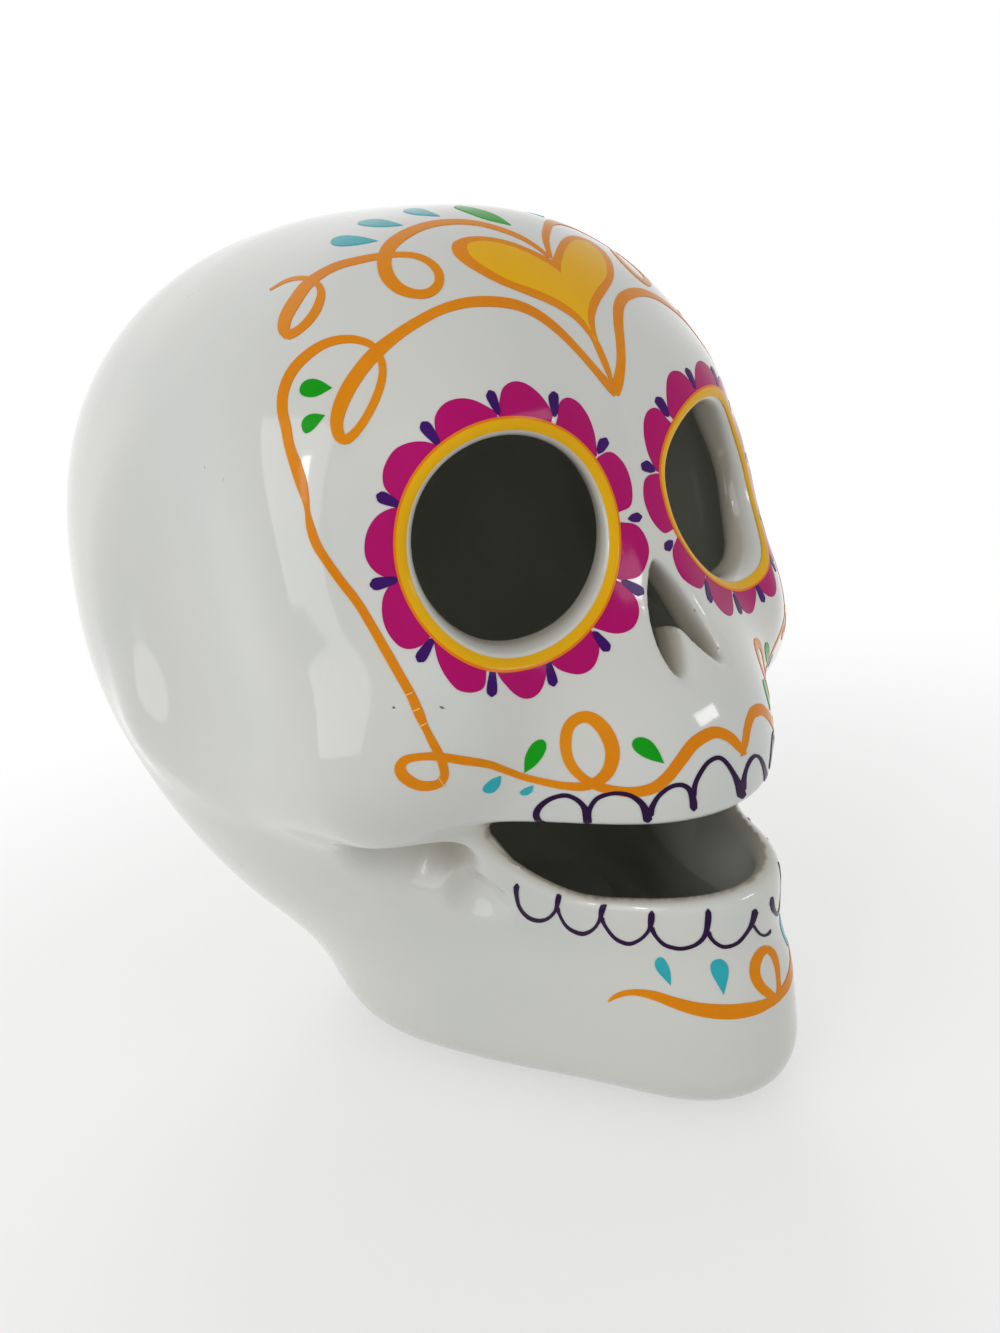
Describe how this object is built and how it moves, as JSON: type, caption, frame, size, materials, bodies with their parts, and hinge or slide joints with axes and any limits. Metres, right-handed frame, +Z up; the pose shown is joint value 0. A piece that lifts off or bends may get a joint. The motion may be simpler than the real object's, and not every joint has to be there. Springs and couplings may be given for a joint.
{
  "type": "sugar skull luminary",
  "caption": "Hollow glazed earthenware sugar skull with open eyes, nose and mouth, painted scrolls and flower eyes, and a small plug-in battery light in its base.",
  "frame": {"origin": "on the table, under the middle of the skull's box", "axes": "+Z up, the face looks along -Y, X runs across the face"},
  "size_m": [0.1284, 0.164, 0.1629],
  "materials": {
    "glaze": "clear gloss glaze over white earthenware, printed scrolls",
    "pad_silicone": "translucent silicone",
    "unit_plastic": "fine moulded texture",
    "frosted_plastic": "frosted",
    "lamp_epoxy": "clear warm epoxy",
    "board": "green solder mask",
    "cell_steel": "plated steel can",
    "contact_brass": "bright spring strip",
    "slider_plastic": "moulded",
    "screw_steel": "plated"
  },
  "bodies": {
    "skull": {"skull_shell": "glaze", "foot_pad_1": "pad_silicone", "foot_pad_2": "pad_silicone", "foot_pad_3": "pad_silicone"},
    "light_unit": {"bottom_cover": "unit_plastic", "light_housing": "unit_plastic", "grip_ring": "pad_silicone", "light_lens": "frosted_plastic", "led_lamp": "lamp_epoxy", "circuit_board": "board", "coin_cell": "cell_steel", "negative_contact": "contact_brass", "positive_contact": "contact_brass", "switch_body": "unit_plastic", "cover_screw_1": "screw_steel", "cover_screw_2": "screw_steel"},
    "slider": {"switch_slider": "slider_plastic"},
    "door": {"battery_door": "unit_plastic"},
    "door_fastener": {"door_screw": "screw_steel"}
  },
  "joints": [
    {"name": "unit_pull", "type": "slide", "parent": "skull", "child": "light_unit", "axis": [0, 0, -1], "range_m": [0, 0.03]},
    {"name": "switch_slide", "type": "slide", "parent": "light_unit", "child": "slider", "axis": [1, 0, 0], "range_m": [0, 0.003]},
    {"name": "door_lift", "type": "slide", "parent": "light_unit", "child": "door", "axis": [0, 0, -1], "range_m": [0, 0.012]},
    {"name": "door_screw_turn", "type": "hinge", "parent": "door", "child": "door_fastener", "pos_m": [0, -0.00205, 0.002], "axis": [0, 0, 1], "continuous": true}
  ]
}
